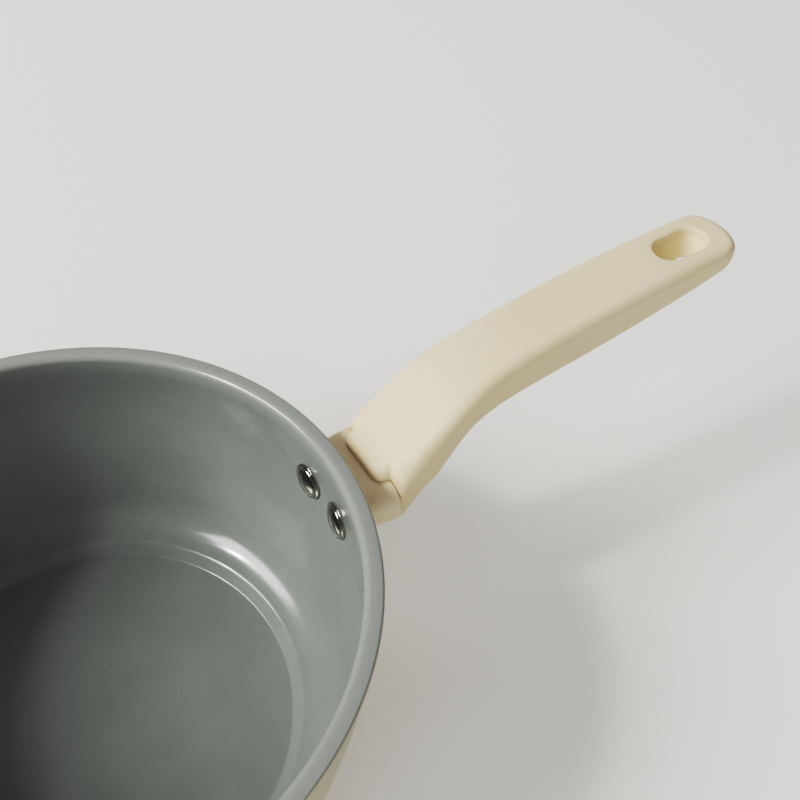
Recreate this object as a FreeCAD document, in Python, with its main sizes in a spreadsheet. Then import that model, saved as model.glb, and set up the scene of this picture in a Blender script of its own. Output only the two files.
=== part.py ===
import FreeCAD, Part
import math
import os

import Sketcher
from FreeCAD import Placement, Rotation, Vector

# A saucepan with one handle.  The origin is the centre of the base's resting face, +Z is up
# and the handle points along +X.  All sizes are millimetres and degrees.

# Driving dimensions: alias, value, meaning.
DIMENSIONS = [
    ("rim_radius", 106.0, "outer edge of the flared lip"),
    ("rim_top", 89.0, "height of the lip above the resting face"),
    ("lip_edge_drop", 0.5, "how far the lip droops to its outer edge"),
    ("lip_thickness", 2.2, "thickness of the lip"),
    ("mouth_radius", 99.6, "inner wall where a lid's skirt would sit"),
    ("mouth_depth", 13.0, "depth of the straight part of the wall below the lip"),
    ("wall_thickness", 2.6, "side wall"),
    ("rivet_wall_radius", 98.5, "inner wall at the lower wall station"),
    ("rivet_wall_height", 61.0, "height of the lower wall station"),
    ("belly_radius", 94.6, "inner wall half way down"),
    ("belly_height", 42.0, "height of that point"),
    ("corner_radius", 90.0, "inner wall where the corner arc ends"),
    ("corner_height", 22.1, "height where the corner arc ends"),
    ("corner_arc", 18.4, "radius of the inner corner arc"),
    ("corner_wall", 2.9, "thickness round the corner"),
    ("step_radius", 75.8, "top of the small step round the floor"),
    ("step_height", 7.9, "height of the top of the step"),
    ("floor_radius", 72.2, "edge of the sunk floor"),
    ("floor_height", 3.5, "floor above the resting face"),
    ("foot_radius", 75.0, "edge of the base disc under the pan"),
    ("crest_round", 2.3, "rounding between wall and lip"),
    ("lip_round", 0.9, "rounding of the lip's outer edge"),
    ("lip_underside_round", 2.0, "rounding under the lip"),
    ("floor_round", 1.4, "rounding at the floor's edge"),
    ("step_round", 3.0, "rounding at the top of the step"),
    ("foot_round", 1.6, "rounding at the base disc's edge"),
    ("plate_radius", 68.0, "steel plate in the underside"),
    ("plate_thickness", 0.8, "steel plate"),
    ("plate_gap", 0.1, "clearance round the steel plate"),
    ("rivet_height", 66.4, "rivet line above the resting face"),
    ("rivet_offset", 10.2, "each rivet's distance from the handle's centre plane"),
    ("rivet_tilt", 6.5, "rivet axis above level, square to the wall"),
    ("rivet_head_radius", 6.8, "domed head"),
    ("rivet_seat_gap", 0.2, "clearance between the head's rim and the curved wall"),
    ("rivet_head_height", 2.3, "height of the dome"),
    ("rivet_head_edge", 0.7, "height of the head's thin edge"),
    ("rivet_shank_radius", 2.4, "shank"),
    ("rivet_tail_radius", 3.9, "upset tail"),
    ("rivet_tail_height", 2.2, "upset tail"),
    ("rivet_hole_start", 6.0, "start of a rivet hole before the rivet's seat, inside the pan"),
    ("rivet_hole_length", 24.0, "length of a rivet hole's cut"),
    ("joint_x", 118.6, "plane where bracket and handle grip meet"),
    ("arm_top", 77.4, "flat top of the bracket"),
    ("arm_bottom", 60.9, "underside of the bracket's arm"),
    ("arm_wall_half", 18.6, "half width of the arm at the pan"),
    ("arm_joint_half", 19.6, "half width of the arm at the grip"),
    ("arm_round", 6.5, "rounding of the arm's long edges"),
    ("arm_shell", 2.6, "wall of the hollow arm"),
    ("flange_inner_x", 90.6, "inner end of the bracket's blank, before the pan's shape is cut"),
    ("flange_bottom", 54.9, "lower edge of the riveted flange"),
    ("flange_outer_x", 105.4, "outer face of the riveted flange"),
    ("wall_gap", 0.05, "clearance between bracket and pan wall"),
    ("tenon_angle", 34.0, "rise of the tenon inside the grip"),
    ("tenon_height", 8.0, "thickness of the tenon"),
    ("tenon_half_width", 10.5, "half width of the tenon"),
    ("tenon_length", 31.0, "length of the tenon from the joint plane"),
    ("tenon_start", 4.0, "how far the tenon starts before the joint plane, inside the arm"),
    ("socket_start", 12.0, "how far the socket's cut starts before the joint plane"),
    ("tenon_centre", 71.6, "height of the tenon's centre at the joint plane"),
    ("socket_gap", 0.25, "clearance round the tenon in the grip"),
    ("tongue_x", 112.9, "front of the tongue over the bracket"),
    ("tongue_half_width", 12.3, "half width of the tongue"),
    ("tongue_corner", 5.0, "corner radius of the tongue"),
    ("tongue_gap", 0.05, "clearance between tongue and bracket"),
    ("tongue_height", 4.6, "thickness of the tongue"),
    ("tongue_round", 3.6, "rolled upper edge of the tongue"),
    ("tongue_root_x", 124.0, "where the tongue ends inside the handle"),
    ("slot_x", 250.5, "centre of the hanging slot"),
    ("slot_length", 21.6, "length of the hanging slot at the parting line"),
    ("slot_width", 12.5, "width of the hanging slot at the parting line"),
    ("slot_draft", 1.0, "draft of the slot's walls above its parting line, wider upwards"),
    ("slot_low_draft", -7.5, "draft below it, narrower downwards"),
    ("slot_parting", 112.0, "height of the slot's parting line"),
    ("slot_ledge", 0.3, "how far the slot steps in below its parting line"),
    ("screw_reach", 16.5, "distance of the screw from the joint plane along the tenon"),
    ("screw_radius", 2.5, "screw shank"),
    ("screw_head_radius", 4.6, "screw head"),
    ("screw_head_height", 3.2, "screw head"),
    ("screw_length", 12.2, "screw shank under its head"),
    ("screw_head_chamfer", 1.0, "bevel of the screw head"),
    ("screw_tip_chamfer", 0.5, "bevel of the screw tip"),
    ("screw_slot_width", 1.4, "driver slot in the screw head"),
    ("screw_slot_depth", 1.5, "driver slot in the screw head"),
    ("screw_seat", 7.4, "distance of the washer's seat below the tenon's centre line"),
    ("screw_well_gap", 0.5, "clearance round the screw head"),
    ("screw_well_depth", 30.0, "start of the screw well below the tenon's centre line"),
    ("screw_hole_depth", 20.0, "start of the screw's clearance hole below that line"),
    ("screw_thread_depth", 12.0, "the screw's thread hole, each way from that line"),
    ("washer_radius", 4.5, "lock washer, outside"),
    ("washer_bore_radius", 2.7, "lock washer, inside"),
    ("washer_thickness", 1.2, "lock washer"),
    ("washer_split", 1.0, "gap in the lock washer"),
]

# Sections of the grip: distance from the pan's axis, half width, top, underside, and the
# rounding of the upper and lower edges there.
GRIP_SECTIONS = [
    (118.6, 20.8, 80.4, 61.6, 7.2, 8.2),
    (119.6, 21.1, 82.4, 61.8, 8.4, 8.4),
    (122.8, 20.7, 85.0, 63.3, 8.6, 8.4),
    (128.0, 19.6, 88.5, 65.9, 7.6, 8.0),
    (135.5, 18.1, 93.8, 71.0, 6.2, 7.0),
    (143.0, 16.8, 98.8, 78.8, 5.2, 6.0),
    (150.0, 15.6, 102.4, 84.9, 4.7, 5.6),
    (159.0, 14.4, 105.7, 88.1, 4.3, 5.3),
    (175.0, 13.8, 109.0, 90.6, 4.0, 5.3),
    (196.0, 13.7, 111.7, 92.9, 3.8, 5.3),
    (222.6, 13.7, 114.1, 96.6, 3.8, 5.3),
    (249.0, 13.5, 115.2, 101.2, 3.8, 5.0),
    (260.0, 13.2, 115.6, 103.6, 3.8, 4.8),
    (265.0, 12.9, 115.6, 104.8, 3.8, 4.6),
    (267.2, 12.2, 115.4, 105.3, 3.6, 4.3),
    (268.8, 11.0, 115.0, 106.0, 3.1, 3.8),
    (270.1, 9.0, 114.3, 107.0, 2.5, 3.0),
    (271.2, 6.6, 113.4, 108.2, 1.8, 2.1),
    (271.8, 4.6, 112.5, 109.3, 1.3, 1.4),
    (272.1, 3.6, 112.0, 110.0, 0.9, 0.9),
]
SECTION_SIZES = ("x", "half", "top", "low", "top_round", "low_round")

doc = FreeCAD.newDocument("saucepan")
sheet = doc.addObject("Spreadsheet::Sheet", "Dims")
for row, (alias, number, meaning) in enumerate(DIMENSIONS, start=1):
    sheet.set("A%d" % row, alias)
    sheet.set("B%d" % row, str(number))
    sheet.set("C%d" % row, meaning)
    sheet.setAlias("B%d" % row, alias)
doc.recompute()


def value(text):
    """Number of a sum of aliases and plain numbers, such as 'rim_top - lip_thickness'."""
    total = 0.0
    sign = 1.0
    for word in text.split():
        if word in "+-":
            sign = 1.0 if word == "+" else -1.0
        else:
            total += sign * (sheet.get(word) if word.isidentifier() else float(word))
    return total


def formula(text):
    """The same sum as an expression on the spreadsheet."""
    return " ".join("Dims." + word if word.isidentifier() else word for word in text.split())


def new_body(name):
    body = doc.addObject("PartDesign::Body", name)
    body.Label = name
    return body


def new_sketch(body, name, plane, offset=None):
    """Sketch on one of the body's own origin planes, lifted by a bound offset if given."""
    sketch = body.newObject("Sketcher::SketchObject", name)
    for feature in body.Origin.OriginFeatures:
        if feature.Role == plane:
            sketch.AttachmentSupport = [(feature, "")]
    sketch.MapMode = "FlatFace"
    if offset:
        sketch.setExpression("AttachmentOffset.Base.z", formula(offset))
    return sketch


def pin(sketch, geometry, position, place):
    """Fix one end of a geometry; place is a pair of sums of aliases."""
    for kind, text in zip(("DistanceX", "DistanceY"), place):
        index = sketch.addConstraint(
            Sketcher.Constraint(kind, -1, 1, geometry, position, value(text)))
        sketch.setExpression("Constraints[%d]" % index, formula(text))


def point(place):
    return Vector(value(place[0]), value(place[1]), 0)


def closed_outline(sketch, steps):
    """Draw a closed outline.

    steps holds (place, way) pairs: the way leads from this place to the next one.  A way is None
    for a line, ("arc", alias, side) for an arc of that radius that bulges to the right (+1) or to
    the left (-1) of the chord, or ("curve", points, start, end) for a smooth curve through points
    that leaves and arrives along the given directions.
    """
    first_ends = []
    last_ends = []
    for number, (place, way) in enumerate(steps):
        following = steps[(number + 1) % len(steps)][0]
        start, end = point(place), point(following)
        if way is None:
            geometry = sketch.addGeometry(Part.LineSegment(start, end), False)
            positions = (1, 2)
        elif way[0] == "arc":
            geometry, positions = add_arc(sketch, start, end, way[1], way[2])
        else:
            curve = Part.BSplineCurve()
            middle = [Vector(x, y, 0) for x, y in way[1]]
            curve.interpolate(Points=[start] + middle + [end],
                              InitialTangent=Vector(way[2][0], way[2][1], 0),
                              FinalTangent=Vector(way[3][0], way[3][1], 0))
            geometry = sketch.addGeometry(curve, False)
            positions = (1, 2)
        pin(sketch, geometry, positions[0], place)
        first_ends.append((geometry, positions[0]))
        last_ends.append((geometry, positions[1]))
    for number, (geometry, position) in enumerate(last_ends):
        following = first_ends[(number + 1) % len(first_ends)]
        sketch.addConstraint(
            Sketcher.Constraint("Coincident", geometry, position, following[0], following[1]))


def add_arc(sketch, start, end, radius_alias, side):
    """Arc from start to end that bulges right (+1) or left (-1) of the chord."""
    radius = value(radius_alias)
    chord = end - start
    right = Vector(chord.y, -chord.x, 0).normalize()
    reach = math.sqrt(radius ** 2 - (chord.Length / 2) ** 2)
    centre = (start + end) * 0.5 - right * (side * reach)
    low, high = (start, end) if side > 0 else (end, start)
    angle_low = math.atan2(low.y - centre.y, low.x - centre.x)
    angle_high = math.atan2(high.y - centre.y, high.x - centre.x)
    if angle_high < angle_low:
        angle_high += 2 * math.pi
    circle = Part.Circle(centre, Vector(0, 0, 1), radius)
    geometry = sketch.addGeometry(Part.ArcOfCircle(circle, angle_low, angle_high), False)
    index = sketch.addConstraint(Sketcher.Constraint("Radius", geometry, radius))
    sketch.setExpression("Constraints[%d]" % index, formula(radius_alias))
    return geometry, ((1, 2) if side > 0 else (2, 1))


def add_circle(sketch, place, radius_alias):
    centre = point(place)
    circle = Part.Circle(centre, Vector(0, 0, 1), value(radius_alias))
    geometry = sketch.addGeometry(circle, False)
    index = sketch.addConstraint(Sketcher.Constraint("Radius", geometry, value(radius_alias)))
    sketch.setExpression("Constraints[%d]" % index, formula(radius_alias))
    pin(sketch, geometry, 3, place)


def revolve(body, name, sketch, kind="PartDesign::Revolution"):
    feature = body.newObject(kind, name)
    feature.Profile = sketch
    feature.ReferenceAxis = (sketch, ["V_Axis"])
    feature.Angle = 360.0
    doc.recompute()
    return feature


def pad(body, name, sketch, length, midplane=False):
    feature = body.newObject("PartDesign::Pad", name)
    feature.Profile = sketch
    feature.Midplane = midplane
    feature.setExpression("Length", formula(length))
    doc.recompute()
    return feature


def pocket(body, name, sketch, length, midplane=False, reverse=False, draft=None):
    """Cut a pocket, and stop if it removes nothing."""
    before = body.Shape.Volume
    feature = body.newObject("PartDesign::Pocket", name)
    feature.Profile = sketch
    feature.Midplane = midplane
    feature.Reversed = reverse
    feature.setExpression("Length", formula(length))
    if draft:
        feature.setExpression("TaperAngle", formula(draft))
    doc.recompute()
    if body.Shape.Volume > before - 1.0:
        raise RuntimeError(name + " removed nothing")
    return feature


def fillet(body, name, edges, radius_alias):
    """Round the numbered edges of the body's last feature."""
    base = body.Tip
    feature = body.newObject("PartDesign::Fillet", name)
    feature.Base = (base, ["Edge%d" % number for number in edges])
    feature.setExpression("Radius", formula(radius_alias))
    doc.recompute()
    return feature


def ring_edges(shape, radius, height, tolerance=0.02):
    """Numbers of the circular edges about Z with this radius and height."""
    found = []
    for number, edge in enumerate(shape.Edges, start=1):
        if isinstance(edge.Curve, Part.Circle):
            centre = edge.Curve.Center
            if abs(edge.Curve.Radius - radius) < tolerance and abs(centre.z - height) < tolerance:
                found.append(number)
    if not found:
        raise RuntimeError("no ring edge at radius %.2f, height %.2f" % (radius, height))
    return found


def corner_frame():
    """Centre and end directions of the inner corner arc, seen in the radius-height plane."""
    start = Vector(value("step_radius"), value("step_height"), 0)
    end = Vector(value("corner_radius"), value("corner_height"), 0)
    chord = end - start
    right = Vector(chord.y, -chord.x, 0).normalize()
    reach = math.sqrt(value("corner_arc") ** 2 - (chord.Length / 2) ** 2)
    centre = (start + end) * 0.5 - right * reach
    return centre, (start - centre).normalize(), (end - centre).normalize()


def wall_stations(outward):
    """Wall points between corner and mouth, moved outward by the wall's thickness."""
    return [
        (value("belly_radius") + outward, value("belly_height")),
        (value("rivet_wall_radius") + outward, value("rivet_wall_height")),
    ]


CORNER_CENTRE, CORNER_START, CORNER_END = corner_frame()
WALL_START = (-CORNER_END.y, CORNER_END.x)
OUTER_CORNER_START = CORNER_CENTRE + CORNER_START * (value("corner_arc") + value("corner_wall"))
OUTER_CORNER_END = CORNER_CENTRE + CORNER_END * (value("corner_arc") + value("corner_wall"))


def add_sheet_value(alias, number, meaning):
    """Keep a worked-out size in the sheet, below the driving ones."""
    row = len(DIMENSIONS) + 2 + len(derived)
    derived.append(alias)
    sheet.set("A%d" % row, alias)
    sheet.set("B%d" % row, repr(round(number, 4)))
    sheet.set("C%d" % row, meaning)
    sheet.setAlias("B%d" % row, alias)


derived = []
add_sheet_value("outer_step_radius", OUTER_CORNER_START.x, "outer corner arc, lower end")
add_sheet_value("outer_step_height", OUTER_CORNER_START.y, "outer corner arc, lower end")
add_sheet_value("outer_corner_radius", OUTER_CORNER_END.x, "outer corner arc, upper end")
add_sheet_value("outer_corner_height", OUTER_CORNER_END.y, "outer corner arc, upper end")
doc.recompute()


def outer_wall_way(gap=0.0):
    """Outer wall from the corner's end up to the straight part under the lip."""
    stations = wall_stations(value("wall_thickness") + gap)
    return ("curve", stations, WALL_START, (0, 1))


def reversed_way(way):
    """The same curve drawn the other way."""
    kind, points, start, end = way
    return (kind, points[::-1], (-end[0], -end[1]), (-start[0], -start[1]))


def make_pan_body():
    """Pressed shell: sunk floor, small step, wide corner, wall, flat flared lip."""
    body = new_body("pan_body")
    sketch = new_sketch(body, "pan_profile", "XZ_Plane")
    closed_outline(sketch, [
        (("0", "floor_height"), None),
        (("floor_radius", "floor_height"), None),
        (("step_radius", "step_height"), ("arc", "corner_arc", 1)),
        (("corner_radius", "corner_height"), ("curve", wall_stations(0.0), WALL_START, (0, 1))),
        (("mouth_radius", "rim_top - mouth_depth"), None),
        (("mouth_radius", "rim_top"), None),
        (("rim_radius", "rim_top - lip_edge_drop"), None),
        (("rim_radius", "rim_top - lip_edge_drop - lip_thickness"), None),
        (("mouth_radius + wall_thickness", "rim_top - lip_thickness"), None),
        (("mouth_radius + wall_thickness", "rim_top - mouth_depth"),
         reversed_way(outer_wall_way())),
        (("outer_corner_radius", "outer_corner_height"), ("arc", "corner_arc + corner_wall", -1)),
        (("outer_step_radius", "outer_step_height"), None),
        (("foot_radius", "0"), None),
        (("plate_radius + plate_gap", "0"), None),
        (("plate_radius + plate_gap", "plate_thickness"), None),
        (("0", "plate_thickness"), None),
    ])
    revolve(body, "pan_shell", sketch)
    for name, radius, height, rounding in [
        ("crest_fillet", "mouth_radius", "rim_top", "crest_round"),
        ("lip_top_fillet", "rim_radius", "rim_top - lip_edge_drop", "lip_round"),
        ("lip_low_fillet", "rim_radius", "rim_top - lip_edge_drop - lip_thickness", "lip_round"),
        ("lip_under_fillet", "mouth_radius + wall_thickness", "rim_top - lip_thickness",
         "lip_underside_round"),
        ("floor_fillet", "floor_radius", "floor_height", "floor_round"),
        ("step_fillet", "step_radius", "step_height", "step_round"),
        ("foot_fillet", "foot_radius", "0", "foot_round"),
        ("foot_root_fillet", "outer_step_radius", "outer_step_height", "foot_round"),
    ]:
        edges = ring_edges(body.Shape, value(radius), value(height))
        fillet(body, name, edges, rounding)
    cut_rivet_holes(body)
    return body


def rivet_direction(side):
    """Unit vector of a rivet's axis from inside the pan outwards; side is +1 or -1."""
    turn = math.asin(side * value("rivet_offset") / value("mouth_radius"))
    tilt = math.radians(-value("rivet_tilt"))
    return Vector(math.cos(turn) * math.cos(tilt), math.sin(turn) * math.cos(tilt),
                  math.sin(tilt))


def rivet_seat(side):
    """Point on a rivet's axis where its head meets the inner wall."""
    turn = math.asin(side * value("rivet_offset") / value("mouth_radius"))
    wall = inner_wall_radius(value("rivet_height"))
    sag = wall - math.sqrt(wall ** 2 - value("rivet_head_radius") ** 2)
    reach = wall - sag - value("rivet_seat_gap")
    return Vector(reach * math.cos(turn), reach * math.sin(turn), value("rivet_height"))


def inner_wall_radius(height):
    """Radius of the inner wall at a height, read from the same curve as the pan's profile."""
    curve = Part.BSplineCurve()
    start = Vector(value("corner_radius"), value("corner_height"), 0)
    end = Vector(value("mouth_radius"), value("rim_top - mouth_depth"), 0)
    middle = [Vector(x, y, 0) for x, y in wall_stations(0.0)]
    curve.interpolate(Points=[start] + middle + [end],
                      InitialTangent=Vector(WALL_START[0], WALL_START[1], 0),
                      FinalTangent=Vector(0, 1, 0))
    level = Part.Line(Vector(0, height, 0), Vector(1, height, 0))
    return curve.intersect(level)[0].X


def cut_rivet_holes(body):
    """Two holes along the rivets' axes, each cut from a sketch that is placed on its axis."""
    for side, name in ((1, "left"), (-1, "right")):
        direction = rivet_direction(side)
        start = rivet_seat(side) - direction * value("rivet_hole_start")
        cut_round_hole(body, "rivet_hole_" + name, start, direction, "rivet_shank_radius",
                       "rivet_hole_length")


def cut_round_hole(body, name, start, direction, radius, length):
    """Round hole from a point along a direction; stop if it removes nothing."""
    sketch = body.newObject("Sketcher::SketchObject", name + "_circle")
    sketch.Placement = axis_placement(start, direction)
    add_circle(sketch, ("0", "0"), radius)
    doc.recompute()
    pocket(body, name, sketch, length, reverse=True)


def axis_placement(base, direction):
    """Placement whose local +Z points along direction."""
    return Placement(base, Rotation(Vector(0, 0, 1), direction))


def make_base_plate():
    """Round steel disc let flush into the underside."""
    body = new_body("induction_base_plate")
    sketch = new_sketch(body, "plate_circle", "XY_Plane")
    add_circle(sketch, ("0", "0"), "plate_radius")
    pad(body, "plate", sketch, "plate_thickness")
    return body


def make_handle_bracket():
    """Cast bracket: flange on the wall, arm that is hollow underneath, slanted tenon."""
    body = new_body("handle_bracket")
    sketch = new_sketch(body, "arm_plan", "XY_Plane", "arm_bottom")
    closed_outline(sketch, [
        (("flange_inner_x", "0 - arm_wall_half"), None),
        (("flange_outer_x", "0 - arm_wall_half"), None),
        (("joint_x", "0 - arm_joint_half"), None),
        (("joint_x", "arm_joint_half"), None),
        (("flange_outer_x", "arm_wall_half"), None),
        (("flange_inner_x", "arm_wall_half"), None),
    ])
    pad(body, "arm", sketch, "arm_top - arm_bottom")
    fillet(body, "arm_fillet", long_edges(body.Shape), "arm_round")
    sketch = new_sketch(body, "flange_plan", "XY_Plane", "flange_bottom")
    closed_outline(sketch, [
        (("flange_inner_x", "0 - arm_wall_half"), None),
        (("flange_outer_x", "0 - arm_wall_half"), None),
        (("flange_outer_x", "arm_wall_half"), None),
        (("flange_inner_x", "arm_wall_half"), None),
    ])
    pad(body, "flange", sketch, "arm_top - arm_round - flange_bottom")
    sketch = new_sketch(body, "tenon_side", "XZ_Plane")
    draw_tenon(sketch, "tenon_start")
    pad(body, "tenon", sketch, "tenon_half_width + tenon_half_width", midplane=True)
    sketch = new_sketch(body, "hollow_plan", "XY_Plane", "arm_bottom - 1")
    closed_outline(sketch, [
        (("flange_outer_x", "0 - arm_wall_half + arm_shell"), None),
        (("joint_x - arm_shell", "0 - arm_joint_half + arm_shell"), None),
        (("joint_x - arm_shell", "arm_joint_half - arm_shell"), None),
        (("flange_outer_x", "arm_wall_half - arm_shell"), None),
    ])
    pocket(body, "hollow", sketch, "arm_top - arm_bottom - arm_shell + 1", reverse=True)
    cut_pan_wall(body)
    cut_rivet_holes(body)
    cut_screw_hole(body, "screw_thread", "screw_radius", "screw_thread_depth",
                   "screw_thread_depth + screw_thread_depth")
    return body


def long_edges(shape):
    """Edges that run mostly along X at the arm's four corners."""
    found = []
    for number, edge in enumerate(shape.Edges, start=1):
        box = edge.BoundBox
        if box.XLength > 5.0 and box.ZLength < 0.1:
            found.append(number)
    return found


def draw_tenon(sketch, start, gap=0.0):
    """Slanted bar seen from the side, from before the joint plane to its end in the grip."""
    rise = math.radians(value("tenon_angle"))
    along = Vector(math.cos(rise), math.sin(rise), 0)
    across = Vector(-along.y, along.x, 0)
    middle = Vector(value("joint_x"), value("tenon_centre"), 0)
    half = value("tenon_height") / 2 + gap
    near = middle - along * value(start)
    far = middle + along * (value("tenon_length") + gap)
    draw_polygon(sketch, [near - across * half, far - across * half,
                          far + across * half, near + across * half])


def draw_polygon(sketch, corners):
    for number, corner in enumerate(corners):
        following = corners[(number + 1) % len(corners)]
        sketch.addGeometry(Part.LineSegment(corner, following), False)
    for number in range(len(corners)):
        following = (number + 1) % len(corners)
        sketch.addConstraint(Sketcher.Constraint("Coincident", number, 2, following, 1))


def cut_pan_wall(body):
    """Shape the flange's inner side to the pan's outer wall, a hair away from it."""
    sketch = new_sketch(body, "wall_profile", "XZ_Plane")
    gap = value("wall_gap")
    closed_outline(sketch, [
        (("0", "outer_corner_height"), None),
        (("outer_corner_radius + wall_gap", "outer_corner_height"), outer_wall_way(gap)),
        (("mouth_radius + wall_thickness + wall_gap", "rim_top - mouth_depth"), None),
        (("mouth_radius + wall_thickness + wall_gap", "rim_top"), None),
        (("0", "rim_top"), None),
    ])
    before = body.Shape.Volume
    revolve(body, "wall_groove", sketch, "PartDesign::Groove")
    if body.Shape.Volume > before - 1.0:
        raise RuntimeError("the pan's wall was not cut from the flange")


def screw_frame():
    """Point on the tenon's centre line and the screw's direction, up into the tenon."""
    rise = math.radians(value("tenon_angle"))
    along = Vector(math.cos(rise), 0, math.sin(rise))
    upward = Vector(-math.sin(rise), 0, math.cos(rise))
    middle = Vector(value("joint_x"), 0, value("tenon_centre"))
    return middle + along * value("screw_reach"), upward


def cut_screw_hole(body, name, radius, depth, length):
    """Round hole along the screw's axis, from a depth below the tenon's centre line upwards."""
    centre, upward = screw_frame()
    cut_round_hole(body, name, centre - upward * value(depth), upward, radius, length)


def make_rivet(name, side):
    """Domed head with a thin edge, shank, upset tail; local +Z points out through the wall."""
    body = new_body(name)
    outer_face = distance_to_flange(side)
    add_sheet_value(name + "_grip", outer_face, "length of the shank between head and tail")
    doc.recompute()
    grip = name + "_grip"
    dome = (value("rivet_head_radius") ** 2
            + (value("rivet_head_height") - value("rivet_head_edge")) ** 2)
    dome /= 2 * (value("rivet_head_height") - value("rivet_head_edge"))
    add_sheet_value(name + "_dome", dome, "radius of the head's dome")
    doc.recompute()
    sketch = new_sketch(body, name + "_profile", "XZ_Plane")
    closed_outline(sketch, [
        (("0", "0 - rivet_head_height"), ("arc", name + "_dome", 1)),
        (("rivet_head_radius", "0 - rivet_head_edge"), None),
        (("rivet_head_radius", "0"), None),
        (("rivet_shank_radius", "0"), None),
        (("rivet_shank_radius", grip), None),
        (("rivet_tail_radius", grip), None),
        (("rivet_tail_radius", grip + " + rivet_tail_height"), None),
        (("0", grip + " + rivet_tail_height"), None),
    ])
    revolve(body, name + "_turned", sketch)
    body.Placement = axis_placement(rivet_seat(side), rivet_direction(side))
    return body


def distance_to_flange(side):
    """Distance along the rivet to where its tail's whole face clears the flat flange."""
    seat, direction = rivet_seat(side), rivet_direction(side)
    lean = math.sqrt(1 - direction.x ** 2) / direction.x
    reach = (value("flange_outer_x") - seat.x) / direction.x
    return reach + value("rivet_tail_radius") * lean


def make_handle_grip():
    """Moulded grip: tongue over the bracket, lofted handle, then slot, socket and screw well."""
    body = new_body("handle_grip")
    add_tongue(body)
    add_handle_loft(body)
    cut_slot(body)
    cut_socket(body)
    cut_screw_hole(body, "screw_clearance", "washer_bore_radius", "screw_hole_depth",
                   "screw_hole_depth")
    cut_screw_hole(body, "screw_well", "screw_head_radius + screw_well_gap", "screw_well_depth",
                   "screw_well_depth - screw_seat")
    return body


def add_tongue(body):
    """Tongue that lies on the bracket's top, with rounded corners and a rolled upper edge."""
    sketch = new_sketch(body, "tongue_plan", "XY_Plane", "arm_top + tongue_gap")
    straight = "tongue_half_width - tongue_corner"
    closed_outline(sketch, [
        (("tongue_x + tongue_corner", "0 - tongue_half_width"), None),
        (("tongue_root_x", "0 - tongue_half_width"), None),
        (("tongue_root_x", "tongue_half_width"), None),
        (("tongue_x + tongue_corner", "tongue_half_width"), ("arc", "tongue_corner", 1)),
        (("tongue_x", straight), None),
        (("tongue_x", "0 - tongue_half_width + tongue_corner"), ("arc", "tongue_corner", 1)),
    ])
    pad(body, "tongue", sketch, "tongue_height")
    level = value("arm_top + tongue_gap + tongue_height")
    edges = []
    for number, edge in enumerate(body.Shape.Edges, start=1):
        box = edge.BoundBox
        if box.ZMin > level - 0.01 and box.XMin < value("tongue_root_x") - 0.1:
            edges.append(number)
    fillet(body, "tongue_roll", edges, "tongue_round")


def add_handle_loft(body):
    """Smooth handle through its rounded sections, from the joint plane to the tip."""
    sections = []
    for number, sizes in enumerate(GRIP_SECTIONS):
        prefix = "section_%d_" % number
        for size, number_here in zip(SECTION_SIZES, sizes):
            add_sheet_value(prefix + size, number_here, "grip section")
    doc.recompute()
    for number in range(len(GRIP_SECTIONS)):
        sections.append(draw_section(body, "section_%d_" % number))
    loft = body.newObject("PartDesign::AdditiveLoft", "handle_loft")
    loft.Profile = sections[0]
    loft.Sections = sections[1:]
    loft.Ruled = False
    doc.recompute()


def draw_section(body, prefix):
    """One rounded section of the grip, square to X."""
    sketch = new_sketch(body, prefix + "outline", "YZ_Plane", prefix + "x")
    half, top, low = prefix + "half", prefix + "top", prefix + "low"
    top_round, low_round = prefix + "top_round", prefix + "low_round"
    closed_outline(sketch, [
        (("0 - %s + %s" % (half, low_round), low), None),
        (("%s - %s" % (half, low_round), low), ("arc", low_round, 1)),
        ((half, "%s + %s" % (low, low_round)), None),
        ((half, "%s - %s" % (top, top_round)), ("arc", top_round, 1)),
        (("%s - %s" % (half, top_round), top), None),
        (("0 - %s + %s" % (half, top_round), top), ("arc", top_round, 1)),
        (("0 - " + half, "%s - %s" % (top, top_round)), None),
        (("0 - " + half, "%s + %s" % (low, low_round)), ("arc", low_round, 1)),
    ])
    return sketch


def cut_slot(body):
    """Hanging slot, cut both ways from its parting line."""
    centre = value("slot_x")
    straight = (value("slot_length") - value("slot_width")) / 2
    for name, reverse, inset, draft in (("slot_up", True, "0", "slot_draft"),
                                        ("slot_down", False, "slot_ledge", "slot_low_draft")):
        sketch = new_sketch(body, name + "_outline", "XY_Plane", "slot_parting")
        radius = value("slot_width") / 2 - value(inset)
        low, high = centre - straight, centre + straight
        for start, end, side in ((low, high, -radius), (high, low, radius)):
            line = Part.LineSegment(Vector(start, side, 0), Vector(end, side, 0))
            sketch.addGeometry(line, False)
        for middle, begin in ((high, -math.pi / 2), (low, math.pi / 2)):
            circle = Part.Circle(Vector(middle, 0, 0), Vector(0, 0, 1), radius)
            sketch.addGeometry(Part.ArcOfCircle(circle, begin, begin + math.pi), False)
        pocket(body, name, sketch, "slot_length", reverse=reverse, draft=draft)


def cut_socket(body):
    """Slanted socket for the bracket's tenon."""
    sketch = new_sketch(body, "socket_side", "XZ_Plane")
    draw_tenon(sketch, "socket_start", value("socket_gap"))
    pocket(body, "socket", sketch,
           "tenon_half_width + tenon_half_width + socket_gap + socket_gap", midplane=True)


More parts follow.
